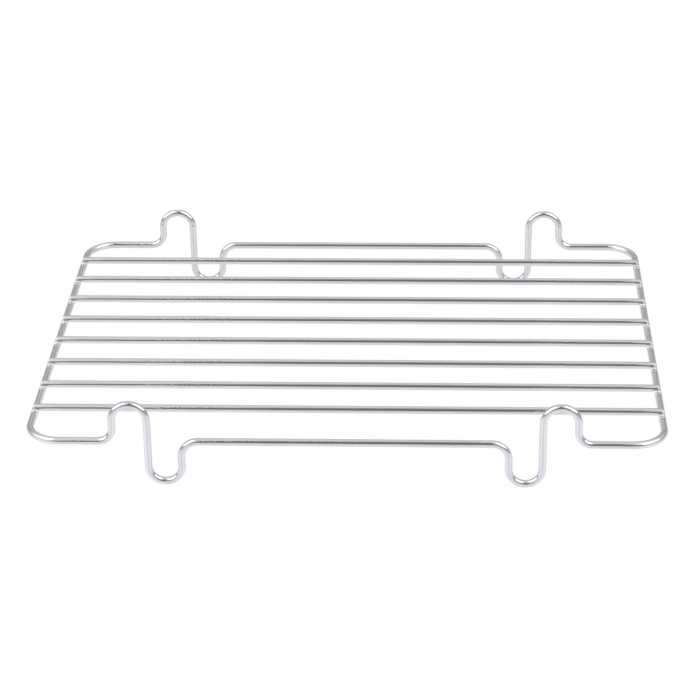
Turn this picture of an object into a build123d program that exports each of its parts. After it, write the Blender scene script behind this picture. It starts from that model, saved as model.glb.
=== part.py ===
"""Reversible wire roasting rack: one bent frame wire with eight grill rods welded across it.

The frame wire is a rounded rectangle. Each long side has two S-shaped kinks, a crest above the
frame and a foot below it, so the rack stands on its feet or, turned over, on its crests.
Millimetres, +Z up, +X along the rods. The origin is on the surface that the feet stand on,
under the middle of the rack.
"""

import os

from build123d import *

# Overall size and wire
overall_width = 340.0
overall_depth = 253.0
wire_diameter = 4.0
rod_diameter = 4.0

# Frame bends, all radii at the wire's centreline
corner_radius = 17.3
outer_shoulder_radius = 7.7
inner_shoulder_radius = 9.0
crest_radius = 9.2
foot_radius = 8.8

# Kinks: from the side wire in to the long leg, and reach above and below the frame, all at centrelines
kink_inset = 64.4
crest_rise = 21.7
foot_drop = 23.7

# Grill rods: spread evenly between the front and back bars, each end just past the side wire's centreline
rod_count = 8
end_gap = 30.5
rod_end_overlap = 0.2
rod_end_rounding = 0.9
weld_setdown = 0.7

# Weld beads squeezed out beside a rod's end, two on each side: placed from the side wire's centreline
bead_radius = 1.0
inner_bead_offset = 1.35
outer_bead_offset = 0.35
bead_side_offset = 2.1
bead_lift = 2.1

# Places that follow from the sizes above
wire_radius = wire_diameter / 2
rod_radius = rod_diameter / 2
half_width = overall_width / 2 - wire_radius
half_depth = overall_depth / 2 - wire_radius
frame_height = foot_drop + wire_radius
long_leg_offset = half_width - kink_inset
outer_leg_offset = long_leg_offset + 2 * crest_radius
inner_leg_offset = long_leg_offset - 2 * foot_radius
rod_pitch = 2 * (half_depth - end_gap) / (rod_count - 1)
rod_height = frame_height + wire_radius + rod_radius - weld_setdown
rod_half_length = half_width + rod_end_overlap
bead_height = frame_height + bead_lift
saddle_length = 4 * rod_diameter

FRONT_PLANE = Plane.XZ.offset(half_depth)
FRAME_PLANE = Plane.XY.offset(frame_height)


# Frame wire: a quarter of the loop is swept, then mirrored to the other three
with BuildLine(FRAME_PLANE) as side_and_corner:
    side = Line((half_width, 0), (half_width, corner_radius - half_depth))
    JernArc(side @ 1, side % 1, corner_radius, -90)

with BuildLine(FRONT_PLANE) as stub_kink_and_bar:
    stub = Line(
        (half_width - corner_radius, frame_height),
        (outer_leg_offset + outer_shoulder_radius, frame_height),
    )
    outer_shoulder = JernArc(stub @ 1, (-1, 0), outer_shoulder_radius, -90)
    outer_leg = Line(
        (outer_leg_offset, frame_height + outer_shoulder_radius),
        (outer_leg_offset, frame_height + crest_rise - crest_radius),
    )
    crest = JernArc((outer_leg_offset, frame_height + crest_rise - crest_radius), (0, 1), crest_radius, 180)
    long_leg = Line(
        (long_leg_offset, frame_height + crest_rise - crest_radius),
        (long_leg_offset, frame_height - foot_drop + foot_radius),
    )
    foot = JernArc((long_leg_offset, frame_height - foot_drop + foot_radius), (0, -1), foot_radius, -180)
    inner_leg = Line(
        (inner_leg_offset, frame_height - foot_drop + foot_radius),
        (inner_leg_offset, frame_height - inner_shoulder_radius),
    )
    inner_shoulder = JernArc(
        (inner_leg_offset, frame_height - inner_shoulder_radius), (0, 1), inner_shoulder_radius, 90
    )
    bar = Line((inner_leg_offset - inner_shoulder_radius, frame_height), (0, frame_height))

with BuildPart() as frame_wire:
    with BuildSketch(Plane((half_width, 0, frame_height), z_dir=(0, -1, 0))):
        Circle(wire_radius)
    sweep(path=Wire(side_and_corner.edges() + stub_kink_and_bar.edges()))
    mirror(about=Plane.XZ)
    mirror(about=Plane.YZ)

frame_wire.part.label = "frame_wire"
print("frame_wire", frame_wire.part.volume, len(frame_wire.part.solids()), frame_wire.part.is_valid)


def grill_rod(depth_place):
    """One rod across the two side wires, seated in its weld saddles, with weld beads at each crossing."""
    with BuildPart() as rod:
        with BuildSketch(Plane.YZ.offset(-rod_half_length)):
            with Locations((depth_place, rod_height)):
                Circle(rod_radius)
        extrude(amount=2 * rod_half_length)
        fillet(rod.edges().filter_by(GeomType.CIRCLE), rod_end_rounding)
        for bead_place in (half_width - inner_bead_offset, half_width + outer_bead_offset):
            with Locations((0, depth_place, bead_height)):
                with GridLocations(2 * bead_place, 2 * bead_side_offset, 2, 2):
                    Sphere(bead_radius)
        with Locations((0, depth_place, frame_height)):
            with GridLocations(2 * half_width, 0, 2, 1):
                Cylinder(wire_radius, saddle_length, rotation=(90, 0, 0), mode=Mode.SUBTRACT)
    return rod.part


os.makedirs("parts", exist_ok=True)
export_step(frame_wire.part, "parts/frame_wire.step")

for index in range(rod_count):
    rod = grill_rod((index - (rod_count - 1) / 2) * rod_pitch)
    rod.label = f"grill_rod_{index + 1}"
    export_step(rod, f"parts/{rod.label}.step")
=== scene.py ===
import math
import random

import bmesh
import bpy
from mathutils import Matrix, Vector, noise


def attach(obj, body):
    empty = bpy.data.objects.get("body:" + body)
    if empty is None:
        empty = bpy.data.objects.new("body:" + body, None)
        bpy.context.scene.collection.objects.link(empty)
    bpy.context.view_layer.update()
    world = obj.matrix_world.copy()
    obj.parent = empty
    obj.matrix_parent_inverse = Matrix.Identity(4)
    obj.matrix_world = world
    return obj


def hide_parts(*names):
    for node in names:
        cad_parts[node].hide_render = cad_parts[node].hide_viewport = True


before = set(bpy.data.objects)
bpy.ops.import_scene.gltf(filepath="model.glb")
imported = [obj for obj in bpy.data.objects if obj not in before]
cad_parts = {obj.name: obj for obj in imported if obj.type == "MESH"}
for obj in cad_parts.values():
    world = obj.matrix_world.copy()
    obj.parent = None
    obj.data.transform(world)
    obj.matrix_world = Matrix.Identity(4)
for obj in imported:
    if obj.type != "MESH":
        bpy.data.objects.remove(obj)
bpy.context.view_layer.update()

MM = 0.001

# Sizes of the rack in millimetres, as in the CAD model
OVERALL_WIDTH = 340.0
OVERALL_DEPTH = 253.0
WIRE_R = 2.0
ROD_R = 2.0
CORNER_R = 17.3
OUTER_SHOULDER_R = 7.7
INNER_SHOULDER_R = 9.0
CREST_R = 9.2
FOOT_R = 8.8
KINK_INSET = 64.4
CREST_RISE = 21.7
FOOT_DROP = 23.7
ROD_COUNT = 8
END_GAP = 30.5
ROD_END_OVERLAP = 0.2
WELD_SETDOWN = 0.7

# Places that follow from these sizes
HALF_WIDTH = OVERALL_WIDTH / 2 - WIRE_R
HALF_DEPTH = OVERALL_DEPTH / 2 - WIRE_R
FRAME_Z = FOOT_DROP + WIRE_R
LONG_LEG_X = HALF_WIDTH - KINK_INSET
ROD_PITCH = 2 * (HALF_DEPTH - END_GAP) / (ROD_COUNT - 1)
ROD_Z = FRAME_Z + WIRE_R + ROD_R - WELD_SETDOWN
ROD_HALF_LENGTH = HALF_WIDTH + ROD_END_OVERLAP

# Edge of the rod ends, tighter than in the CAD model, as the photograph shows it
ROD_END_ROUNDING = 0.5
ROD_END_STEPS = 7

# Weld flash in millimetres: one uneven lump in front of each rod end and one behind it
BEAD_R = 1.0
BEAD_HALF_LENGTH = 1.85
BEAD_INSET = 0.5
BEAD_LIFT = 2.1
BEAD_X = HALF_WIDTH - BEAD_INSET
BEAD_Y = 2.1
BEAD_Z = FRAME_Z + BEAD_LIFT
BEAD_SUBDIVISIONS = 4
BEAD_SIZE_RANGE = (0.94, 1.08)
BEAD_LUMP = 0.11
BEAD_LUMP_SCALE = 1.3
BEAD_LUMP_SHIFT = (2.3, 5.1, 3.7)
FIRST_BEAD_SEED = 3

# Smoothness of the wires
SIDES = 32
ARC_STEP_DEG = 6.0
RUN_STEP = 12.0


def arc_points(centre, radius, start_deg, end_deg):
    """Points along an arc in a plane, both ends included."""
    count = max(2, round(abs(end_deg - start_deg) / ARC_STEP_DEG))
    points = []
    for i in range(count + 1):
        angle = math.radians(start_deg + (end_deg - start_deg) * i / count)
        points.append((centre[0] + radius * math.cos(angle), centre[1] + radius * math.sin(angle)))
    return points


def run_points(start, end):
    """Points strictly between the two ends of a straight run."""
    count = max(1, round(math.dist(start, end) / RUN_STEP))
    points = []
    for i in range(1, count):
        t = i / count
        points.append(tuple(a + (b - a) * t for a, b in zip(start, end)))
    return points


def quarter_centreline():
    """The frame wire from the middle of the right side to the middle of the front bar."""
    outer_x = LONG_LEG_X + 2 * CREST_R
    inner_x = LONG_LEG_X - 2 * FOOT_R
    crest_z = FRAME_Z + CREST_RISE - CREST_R
    foot_z = FRAME_Z - FOOT_DROP + FOOT_R
    outer_shoulder = (outer_x + OUTER_SHOULDER_R, FRAME_Z + OUTER_SHOULDER_R)
    inner_shoulder = (inner_x - INNER_SHOULDER_R, FRAME_Z - INNER_SHOULDER_R)
    plan = [(HALF_WIDTH, 0.0)]
    plan += run_points((HALF_WIDTH, 0.0), (HALF_WIDTH, CORNER_R - HALF_DEPTH))
    plan += arc_points((HALF_WIDTH - CORNER_R, CORNER_R - HALF_DEPTH), CORNER_R, 0, -90)
    path = [Vector((x, y, FRAME_Z)) for x, y in plan]
    bends = [
        arc_points(outer_shoulder, OUTER_SHOULDER_R, 270, 180),
        arc_points((LONG_LEG_X + CREST_R, crest_z), CREST_R, 0, 180),
        arc_points((LONG_LEG_X - FOOT_R, foot_z), FOOT_R, 0, -180),
        arc_points(inner_shoulder, INNER_SHOULDER_R, 0, 90),
        [(0.0, FRAME_Z)],
    ]
    last = (HALF_WIDTH - CORNER_R, FRAME_Z)
    for bend in bends:
        for x, z in run_points(last, bend[0]) + bend:
            path.append(Vector((x, -HALF_DEPTH, z)))
        last = bend[-1]
    return path


def frame_centreline():
    """The whole closed loop, mirrored from its quarter."""
    quarter = quarter_centreline()
    front = quarter + [Vector((-p.x, p.y, p.z)) for p in reversed(quarter[:-1])]
    back = [Vector((p.x, -p.y, p.z)) for p in reversed(front[1:-1])]
    return front + back


def ring_normals(path, closed):
    """Two normals at each point, turned as little as possible along the wire."""
    count = len(path)
    tangents = []
    for i in range(count):
        ahead = path[(i + 1) % count] if closed else path[min(i + 1, count - 1)]
        behind = path[i - 1] if closed else path[max(i - 1, 0)]
        tangents.append((ahead - behind).normalized())
    normal = Vector((0, 0, 1))
    normal = (normal - tangents[0] * normal.dot(tangents[0])).normalized()
    normals = [normal]
    for i in range(1, count):
        turn = tangents[i - 1].rotation_difference(tangents[i])
        normal = turn @ normal
        normal = (normal - tangents[i] * normal.dot(tangents[i])).normalized()
        normals.append(normal)
    if closed:
        carried = tangents[-1].rotation_difference(tangents[0]) @ normals[-1]
        twist = math.atan2(tangents[0].dot(carried.cross(normals[0])), carried.dot(normals[0]))
        for i, tangent in enumerate(tangents):
            normals[i] = Matrix.Rotation(twist * i / count, 3, tangent) @ normals[i]
    return [(n, t.cross(n)) for t, n in zip(tangents, normals)]


def wire_mesh(name, path, radii, closed):
    """A round tube along a path, with a smooth skin and coordinates that run along the wire."""
    normals = ring_normals(path, closed)
    verts = []
    along = []
    travelled = 0.0
    for i, (point, radius) in enumerate(zip(path, radii)):
        if i:
            travelled += (point - path[i - 1]).length
        first, second = normals[i]
        for j in range(SIDES):
            angle = 2 * math.pi * j / SIDES
            spoke = first * math.cos(angle) + second * math.sin(angle)
            verts.append((point + spoke * radius) * MM)
            along.append((travelled, radius * math.cos(angle), radius * math.sin(angle)))
    faces = []
    rings = len(path)
    for i in range(rings if closed else rings - 1):
        a = i * SIDES
        b = ((i + 1) % rings) * SIDES
        for j in range(SIDES):
            k = (j + 1) % SIDES
            faces.append((a + j, a + k, b + k, b + j))
    if not closed:
        faces.append(tuple(reversed(range(SIDES))))
        faces.append(tuple(range((rings - 1) * SIDES, rings * SIDES)))
    mesh = bpy.data.meshes.new(name)
    mesh.from_pydata(verts, [], faces)
    mesh.polygons.foreach_set("use_smooth", [True] * len(mesh.polygons))
    store = mesh.attributes.new("wire_coords", "FLOAT_VECTOR", "POINT")
    store.data.foreach_set("vector", [value for vector in along for value in vector])
    bm = bmesh.new()
    bm.from_mesh(mesh)
    bmesh.ops.recalc_face_normals(bm, faces=bm.faces)
    bm.to_mesh(mesh)
    bm.free()
    return mesh


def rod_outline():
    """Places along a rod and its radius there, with the rounded ends."""
    places = []
    for i in range(ROD_END_STEPS + 1):
        angle = math.radians(90 * i / ROD_END_STEPS)
        place = ROD_HALF_LENGTH - ROD_END_ROUNDING * (1 - math.sin(angle))
        places.append((place, ROD_R - ROD_END_ROUNDING * (1 - math.cos(angle))))
    left = [(-x, r) for x, r in reversed(places)]
    inner = ROD_HALF_LENGTH - ROD_END_ROUNDING
    middle = [(x, ROD_R) for (x,) in run_points((-inner,), (inner,))]
    return left + middle + places


def weld_beads(name, rod_y, seed):
    """A lump of flash in front of and behind both crossings of one rod."""
    rng = random.Random(seed)
    bm = bmesh.new()
    for side in (-1, 1):
        for by in (-BEAD_Y, BEAD_Y):
            middle = Vector((side * BEAD_X, rod_y + by, BEAD_Z))
            size = Vector((BEAD_HALF_LENGTH, BEAD_R, BEAD_R)) * rng.uniform(*BEAD_SIZE_RANGE)
            shift = Vector(a * b for a, b in zip((seed, side, by), BEAD_LUMP_SHIFT))
            made = bmesh.ops.create_icosphere(bm, subdivisions=BEAD_SUBDIVISIONS, radius=1.0)
            for vert in made["verts"]:
                lump = 1 + BEAD_LUMP * noise.noise(vert.co * BEAD_LUMP_SCALE + shift)
                spot = Vector(a * b for a, b in zip(vert.co, size)) * lump
                vert.co = (middle + spot) * MM
    for face in bm.faces:
        face.smooth = True
    mesh = bpy.data.meshes.new(name)
    bm.to_mesh(mesh)
    bm.free()
    return mesh


class NodeKit:
    """Adds nodes to one tree. An input takes a number, a colour, a vector or another node's output."""

    def __init__(self, tree):
        self.tree = tree

    def feed(self, socket, value):
        if isinstance(value, bpy.types.NodeSocket):
            self.tree.links.new(value, socket)
        elif socket.type == "RGBA":
            socket.default_value = (*value, 1.0)
        else:
            socket.default_value = value

    def make(self, kind, place, inputs=None, **settings):
        node = self.tree.nodes.new(kind)
        node.location = place
        for key, value in settings.items():
            setattr(node, key, value)
        for key, value in (inputs or {}).items():
            self.feed(node.inputs[key], value)
        return node

    def maths(self, operation, place, *values):
        node = self.make("ShaderNodeMath", place, dict(enumerate(values)), operation=operation)
        return node.outputs["Value"]

    def span(self, place, value, start, finish, low=0.0, high=1.0, shape="SMOOTHSTEP"):
        """Turns the range from start to finish into the range from low to high."""
        inputs = {"Value": value, "From Min": start, "From Max": finish, "To Min": low, "To Max": high}
        return self.make("ShaderNodeMapRange", place, inputs, interpolation_type=shape).outputs["Result"]

    def blend(self, place, factor, first, second):
        inputs = {"Factor": factor, "A": first, "B": second}
        return self.make("ShaderNodeMix", place, inputs, data_type="RGBA").outputs["Result"]

    def ramp(self, place, stops, share):
        node = self.make("ShaderNodeValToRGB", place, {"Fac": share})
        elements = node.color_ramp.elements
        for element, (spot, colour) in zip(elements, (stops[0], stops[-1])):
            element.position = spot
            element.color = (*colour, 1.0)
        for spot, colour in stops[1:-1]:
            elements.new(spot).color = (*colour, 1.0)
        return node.outputs["Color"]

    def bump(self, place, height, strength, distance):
        inputs = {"Height": height, "Strength": strength, "Distance": distance}
        return self.make("ShaderNodeBump", place, inputs).outputs["Normal"]


WHITE = (1.0, 1.0, 1.0)

# Plated wire: each noise by its turns per millimetre along and across the wire, and its detail
LINE_NOISE = ((0.10, 1.4, 1.4), 3.0)
PLATING_NOISE = ((0.03, 0.25, 0.25), 2.0)
RIPPLE_NOISE = ((0.35, 0.5, 0.5), 1.0)
PATCH_NOISE = ((0.02, 0.1, 0.1), 1.0)

# Range of a noise, and the range that it becomes
GLOSS_SPAN = (0.3, 0.7, 0.05, 0.10)
PLATING_SPAN = (0.35, 0.65, 0.0, 1.0)
PATCH_SPAN = (0.48, 0.62, 0.1, 1.8)

# Tones of the plating and relief of the wire's skin, its depth in metres
THIN_PLATING_TONE = (0.778, 0.764, 0.777)
THICK_PLATING_TONE = (0.829, 0.818, 0.842)
LINE_RELIEF = 0.3
WIRE_BUMP_STRENGTH = 0.2
WIRE_BUMP_DEPTH = 0.0002

# Weld flash, its grit counted in turns per metre
WELD_TONE = (0.86, 0.86, 0.87)
GRIT_SCALE = 900.0
GRIT_DETAIL = 2.0
GRIT_SPAN = (0.0, 1.0, 0.32, 0.50)
WELD_BUMP_STRENGTH = 0.10
WELD_BUMP_DEPTH = 0.0003


def metal_material(name):
    """A new bare metal, with a kit for its nodes and its shader."""
    material = bpy.data.materials.new(name)
    material.use_nodes = True
    shader = material.node_tree.nodes["Principled BSDF"]
    shader.inputs["Metallic"].default_value = 1.0
    return material, NodeKit(material.node_tree), shader


def chrome_material():
    """Bright plated wire: fine drawing lines along it, faint waves and small breaks in the gloss."""
    material, kit, shader = metal_material("bright_chrome_wire")
    coords = kit.make("ShaderNodeAttribute", (-1600, 0), attribute_name="wire_coords")

    def wire_noise(place, stretch, detail):
        inputs = {"Vector": coords.outputs["Vector"], "Scale": stretch}
        scaled = kit.make("ShaderNodeMapping", (place[0] - 200, place[1]), inputs)
        inputs = {"Vector": scaled.outputs["Vector"], "Scale": 1.0, "Detail": detail}
        return kit.make("ShaderNodeTexNoise", place, inputs).outputs["Fac"]

    # Drawing lines along the wire
    lines = wire_noise((-1000, 300), *LINE_NOISE)
    roughness = kit.span((-600, -200), lines, *GLOSS_SPAN, "LINEAR")
    kit.feed(shader.inputs["Roughness"], roughness)

    # Thicker and thinner plating
    plating = kit.span((-600, 600), wire_noise((-1000, 600), *PLATING_NOISE), *PLATING_SPAN, "LINEAR")
    tint = kit.blend((-300, 500), plating, THIN_PLATING_TONE, THICK_PLATING_TONE)
    kit.feed(shader.inputs["Base Color"], tint)

    # Short ripples that come and go along the wire
    ripples = wire_noise((-1000, 0), *RIPPLE_NOISE)
    patches = kit.span((-600, -500), wire_noise((-1000, -500), *PATCH_NOISE), *PATCH_SPAN, "LINEAR")
    waves = kit.maths("MULTIPLY", (-600, 0), ripples, patches)
    relief = kit.maths("MULTIPLY_ADD", (-400, 100), lines, LINE_RELIEF, waves)
    normal = kit.bump((-200, -300), relief, WIRE_BUMP_STRENGTH, WIRE_BUMP_DEPTH)
    kit.feed(shader.inputs["Normal"], normal)
    return material


def weld_material():
    """Plated weld flash: brighter and rougher than the drawn wire."""
    material, kit, shader = metal_material("plated_weld_flash")
    coords = kit.make("ShaderNodeTexCoord", (-1000, 0))
    inputs = {"Vector": coords.outputs["Object"], "Scale": GRIT_SCALE, "Detail": GRIT_DETAIL}
    grit = kit.make("ShaderNodeTexNoise", (-800, 0), inputs).outputs["Fac"]
    roughness = kit.span((-500, 0), grit, *GRIT_SPAN, "LINEAR")
    normal = kit.bump((-400, -300), grit, WELD_BUMP_STRENGTH, WELD_BUMP_DEPTH)
    kit.feed(shader.inputs["Base Color"], WELD_TONE)
    kit.feed(shader.inputs["Roughness"], roughness)
    kit.feed(shader.inputs["Normal"], normal)
    return material


def add_piece(name, mesh, material):
    """A piece of the rack, on its one body."""
    piece = bpy.data.objects.new(name, mesh)
    bpy.context.collection.objects.link(piece)
    mesh.materials.append(material)
    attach(piece, "root")
    return piece


chrome = chrome_material()
weld = weld_material()

# Frame wire
loop = frame_centreline()
frame_mesh = wire_mesh("frame_wire_skin", loop, [WIRE_R] * len(loop), True)
frame_piece = add_piece("frame_wire_skin", frame_mesh, chrome)
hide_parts("frame_wire")

# Grill rods, front to back
outline = rod_outline()
for index in range(ROD_COUNT):
    rod_y = (index - (ROD_COUNT - 1) / 2) * ROD_PITCH
    rod_path = [Vector((x, rod_y, ROD_Z)) for x, _ in outline]
    rod_mesh = wire_mesh(f"grill_rod_skin_{index + 1}", rod_path, [r for _, r in outline], False)
    rod_piece = add_piece(f"grill_rod_skin_{index + 1}", rod_mesh, chrome)
    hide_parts(f"grill_rod_{index + 1}")
    bead_mesh = weld_beads(f"weld_beads_{index + 1}", rod_y, index + FIRST_BEAD_SEED)
    add_piece(f"weld_beads_{index + 1}", bead_mesh, weld)


# Floor in metres: white to the eye with a trace of shadow, in reflections a painted pool of light,
# dimmer far off
FLOOR_HALF = 4.0
FLOOR_TONE = (0.9, 0.9, 0.9)
FLOOR_GLOW = 1.02
FLOOR_GLOW_SHARE = 0.9
# Painted pool of light on the mirrored floor: its middle, the distances where it starts and stops
# dimming, and its tones
LIGHT_POOL_MIDDLE = (0.0, -0.12, 0.0)
LIGHT_POOL_NEAR, LIGHT_POOL_FAR = 0.12, 0.6
LIGHT_POOL_NEAR_TONE = (0.76, 0.76, 0.79)
LIGHT_POOL_FAR_TONE = (0.43, 0.407, 0.385)
SHEEN_TONE = (0.15, 0.15, 0.15)
SHEEN_ROUGHNESS = 0.3


def floor_material():
    """One look for the camera, one with a painted pool of light for reflections and plain paint for all
    other light.
    """
    material = bpy.data.materials.new("white_floor")
    material.use_nodes = True
    tree = material.node_tree
    tree.nodes.clear()
    kit = NodeKit(tree)
    rays = kit.make("ShaderNodeLightPath", (-800, 300)).outputs

    # What the camera sees
    paint = kit.make("ShaderNodeBsdfDiffuse", (-400, -100), {"Color": FLOOR_TONE}).outputs["BSDF"]
    inputs = {"Color": WHITE, "Strength": FLOOR_GLOW}
    glow = kit.make("ShaderNodeEmission", (-400, 100), inputs).outputs["Emission"]
    inputs = {"Fac": FLOOR_GLOW_SHARE, 1: paint, 2: glow}
    seen = kit.make("ShaderNodeMixShader", (-100, 0), inputs).outputs["Shader"]

    # What the wires mirror: a glowing floor tone with a painted pool of light, bright near the middle
    # and dim far off
    coords = kit.make("ShaderNodeTexCoord", (-1200, -300))
    inputs = {0: coords.outputs["Object"], 1: LIGHT_POOL_MIDDLE}
    reach = kit.make("ShaderNodeVectorMath", (-1000, -300), inputs, operation="DISTANCE")
    pool_fade = kit.span((-800, -300), reach.outputs["Value"], LIGHT_POOL_NEAR, LIGHT_POOL_FAR)
    tone = kit.blend((-600, -300), pool_fade, LIGHT_POOL_NEAR_TONE, LIGHT_POOL_FAR_TONE)
    painted_pool = kit.make("ShaderNodeEmission", (-400, -300), {"Color": tone}).outputs["Emission"]
    inputs = {"Color": SHEEN_TONE, "Roughness": SHEEN_ROUGHNESS}
    sheen = kit.make("ShaderNodeBsdfGlossy", (-400, -450), inputs).outputs["BSDF"]
    mirrored = kit.make("ShaderNodeAddShader", (-100, -350), {0: painted_pool, 1: sheen}).outputs["Shader"]

    inputs = {"Fac": rays["Is Camera Ray"], 1: paint, 2: seen}
    by_camera = kit.make("ShaderNodeMixShader", (100, 0), inputs).outputs["Shader"]
    mirrors = kit.maths("MAXIMUM", (100, 300), rays["Is Glossy Ray"], rays["Is Transmission Ray"])
    inputs = {"Fac": mirrors, 1: by_camera, 2: mirrored}
    by_gloss = kit.make("ShaderNodeMixShader", (350, 0), inputs).outputs["Shader"]
    kit.make("ShaderNodeOutputMaterial", (600, 0), {"Surface": by_gloss})
    return material


floor_mesh = bpy.data.meshes.new("floor")
floor_corners = [(x * FLOOR_HALF, y * FLOOR_HALF, 0.0) for x, y in ((-1, -1), (1, -1), (1, 1), (-1, 1))]
floor_mesh.from_pydata(floor_corners, [], [(0, 1, 2, 3)])
floor = bpy.data.objects.new("floor", floor_mesh)
bpy.context.collection.objects.link(floor)
floor_mesh.materials.append(floor_material())


# Studio, by bearing from straight ahead of the rack: a dark gap, pale wings with a softbox in each,
# a shaded corner and a grey wall behind. Each ramp runs from the horizon at 0 to straight up at 1.
GAP_RAMP = [
    (0.00, (0.300, 0.225, 0.165)),
    (0.11, (0.220, 0.172, 0.132)),
    (0.26, (0.205, 0.186, 0.166)),
    (0.42, (0.198, 0.193, 0.199)),
    (0.55, (0.208, 0.211, 0.244)),
    (0.67, (0.236, 0.244, 0.290)),
    (0.78, (0.318, 0.328, 0.374)),
    (0.89, (0.475, 0.485, 0.520)),
    (1.00, (0.675, 0.680, 0.690)),
]
WING_RAMP = [
    (0.00, (0.470, 0.455, 0.440)),
    (0.08, (0.420, 0.412, 0.406)),
    (0.16, (0.450, 0.455, 0.465)),
    (0.24, (0.620, 0.650, 0.700)),
    (0.33, (0.755, 0.795, 0.860)),
    (0.50, (0.790, 0.810, 0.850)),
    (0.67, (0.815, 0.825, 0.845)),
    (0.85, (0.770, 0.775, 0.785)),
    (1.00, (0.675, 0.680, 0.690)),
]
SHADE_RAMP = [
    (0.00, (0.550, 0.540, 0.530)),
    (0.10, (0.460, 0.452, 0.444)),
    (0.22, (0.385, 0.375, 0.365)),
    (0.38, (0.345, 0.338, 0.330)),
    (0.46, (0.450, 0.448, 0.446)),
    (0.55, (0.680, 0.683, 0.690)),
    (0.85, (0.740, 0.744, 0.752)),
    (1.00, (0.675, 0.680, 0.690)),
]
BACK_RAMP = [
    (0.00, (0.446, 0.441, 0.436)),
    (0.14, (0.432, 0.429, 0.425)),
    (0.24, (0.456, 0.454, 0.451)),
    (0.32, (0.560, 0.560, 0.560)),
    (0.40, (0.695, 0.695, 0.700)),
    (0.50, (0.760, 0.763, 0.770)),
    (0.68, (0.785, 0.788, 0.795)),
    (0.78, (0.740, 0.743, 0.750)),
    (0.88, (0.765, 0.769, 0.777)),
    (1.00, (0.675, 0.680, 0.690)),
]
SOFTBOX_TONE = (1.75, 1.77, 1.82)

# The gap's bearings in degrees at its low and its high rise
GAP_MIDDLE = (9.0, 0.0)
GAP_START = (24.0, 8.0)
GAP_END = (42.0, 14.0)
GAP_LOW_RISE, GAP_HIGH_RISE = 11.0, 36.0

# Bearings and rises in degrees, each a soft edge from one to the other
SHADE_MIDDLE = 8.0
SHADE_EDGE = (126.0, 139.0)
BACK_EDGE = (148.0, 168.0)
SOFTBOX_NEAR = (31.0, 42.0)
SOFTBOX_FAR = (88.0, 110.0)
SOFTBOX_FOOT = (12.0, 20.0)
SOFTBOX_HEAD = (62.0, 76.0)
PANEL_LEAN = 4.0
STRAIGHT_UP = 90.0


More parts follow.
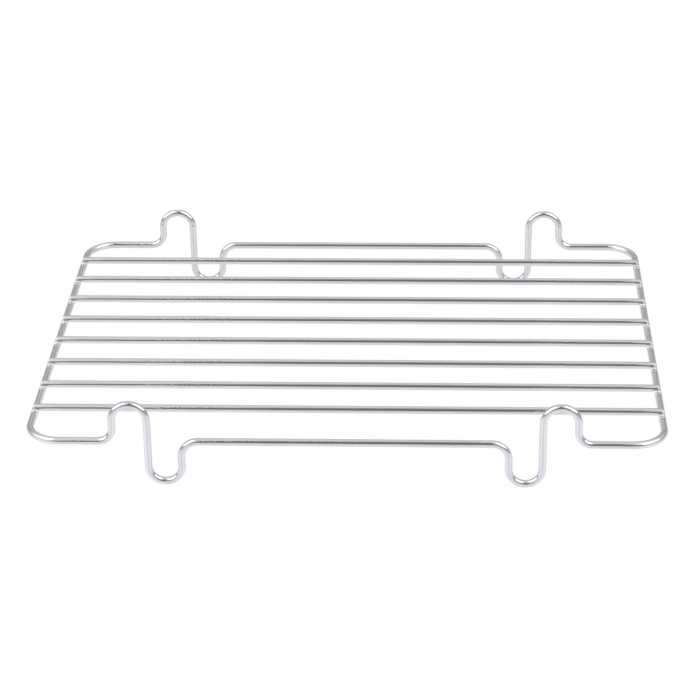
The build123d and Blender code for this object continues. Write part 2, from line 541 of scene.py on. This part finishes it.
def studio_world():
    """The room that the wires mirror. The camera itself sees plain white."""
    world = bpy.data.worlds.new("studio")
    bpy.context.scene.world = world
    world.use_nodes = True
    tree = world.node_tree
    tree.nodes.clear()
    kit = NodeKit(tree)

    # Bearing and rise of a direction, with the panels' tops leaning to one side
    coords = kit.make("ShaderNodeTexCoord", (-1600, 0))
    inputs = {"Vector": coords.outputs["Generated"]}
    way = kit.make("ShaderNodeSeparateXYZ", (-1400, 0), inputs).outputs
    to_front = kit.maths("MULTIPLY", (-1200, 200), way["Y"], -1.0)
    bearing = kit.maths("ARCTAN2", (-1000, 200), way["X"], to_front)
    bearing = kit.maths("DEGREES", (-800, 200), bearing)
    height = kit.maths("ARCSINE", (-1200, -200), way["Z"])
    height = kit.maths("DEGREES", (-1000, -200), height)
    lean = kit.maths("MULTIPLY", (-1000, -400), way["X"], PANEL_LEAN)
    rise = kit.maths("SUBTRACT", (-800, -200), height, lean)
    share = kit.maths("DIVIDE", (-600, -200), rise, STRAIGHT_UP)

    def gap_bearing(place, low, high):
        return kit.span(place, rise, GAP_LOW_RISE, GAP_HIGH_RISE, low, high, "LINEAR")

    # How far to the side a direction points, from three middles
    aside = kit.maths("ABSOLUTE", (-400, 200), bearing)
    gap_middle = gap_bearing((-600, 500), *GAP_MIDDLE)
    from_gap = kit.maths("SUBTRACT", (-400, 500), bearing, gap_middle)
    from_gap = kit.maths("ABSOLUTE", (-200, 500), from_gap)
    behind = kit.maths("SUBTRACT", (-600, 400), bearing, SHADE_MIDDLE)
    behind = kit.maths("ABSOLUTE", (-400, 400), behind)

    # Share of each zone
    gap_start = gap_bearing((-600, -500), *GAP_START)
    gap_end = gap_bearing((-600, -800), *GAP_END)
    past_gap = kit.span((100, 200), from_gap, gap_start, gap_end)
    near = kit.span((-200, 900), aside, *SOFTBOX_NEAR)
    foot = kit.span((-200, 1200), rise, *SOFTBOX_FOOT)
    far = kit.span((-200, 700), aside, *SOFTBOX_FAR, 1.0, 0.0)
    head = kit.span((-200, 500), rise, *SOFTBOX_HEAD, 1.0, 0.0)
    near_and_foot = kit.maths("MULTIPLY", (0, 800), near, foot)
    far_and_head = kit.maths("MULTIPLY", (0, 600), far, head)
    softbox = kit.maths("MULTIPLY", (200, 700), near_and_foot, far_and_head)
    shaded = kit.span((100, -100), behind, *SHADE_EDGE)
    walled = kit.span((100, -400), behind, *BACK_EDGE)

    gap = kit.ramp((-200, 300), GAP_RAMP, share)
    wing = kit.ramp((-200, 50), WING_RAMP, share)
    shade = kit.ramp((-200, -200), SHADE_RAMP, share)
    back = kit.ramp((-200, -450), BACK_RAMP, share)
    tone = kit.blend((300, 200), past_gap, gap, wing)
    tone = kit.blend((500, 300), softbox, tone, SOFTBOX_TONE)
    tone = kit.blend((700, 0), shaded, tone, shade)
    tone = kit.blend((900, -200), walled, tone, back)

    room = kit.make("ShaderNodeBackground", (1100, -100), {"Color": tone}).outputs["Background"]
    white = kit.make("ShaderNodeBackground", (1100, 100), {"Color": WHITE}).outputs["Background"]
    rays = kit.make("ShaderNodeLightPath", (1100, 400)).outputs
    inputs = {"Fac": rays["Is Camera Ray"], 1: room, 2: white}
    seen = kit.make("ShaderNodeMixShader", (1300, 0), inputs).outputs["Shader"]
    kit.make("ShaderNodeOutputWorld", (1500, 0), {"Surface": seen})


studio_world()


# Camera at the photograph's place
FOCAL_PIXELS = 2300.54
PICTURE_PIXELS = 700.0
SENSOR_MM = 36.0
CAMERA_PLACE = Vector((0.04934, -1.17361, 0.61571))
YAW = math.radians(-2.5019)
PITCH = math.radians(27.0150)
ROLL = math.radians(0.7592)

level_forward = Vector((math.sin(YAW), math.cos(YAW), 0.0))
forward = level_forward * math.cos(PITCH) - Vector((0.0, 0.0, math.sin(PITCH)))
level = Vector((math.cos(YAW), -math.sin(YAW), 0.0))
level_down = forward.cross(level)
right = level * math.cos(ROLL) + level_down * math.sin(ROLL)
down = level_down * math.cos(ROLL) - level * math.sin(ROLL)
lens = bpy.data.cameras.new("camera")
lens.sensor_width = SENSOR_MM
lens.lens = FOCAL_PIXELS * SENSOR_MM / PICTURE_PIXELS
camera = bpy.data.objects.new("camera", lens)
bpy.context.collection.objects.link(camera)
turn = Matrix((right, -down, -forward)).transposed().to_4x4()
camera.matrix_world = Matrix.Translation(CAMERA_PLACE) @ turn
bpy.context.scene.camera = camera

bpy.context.scene.view_settings.view_transform = "Standard"
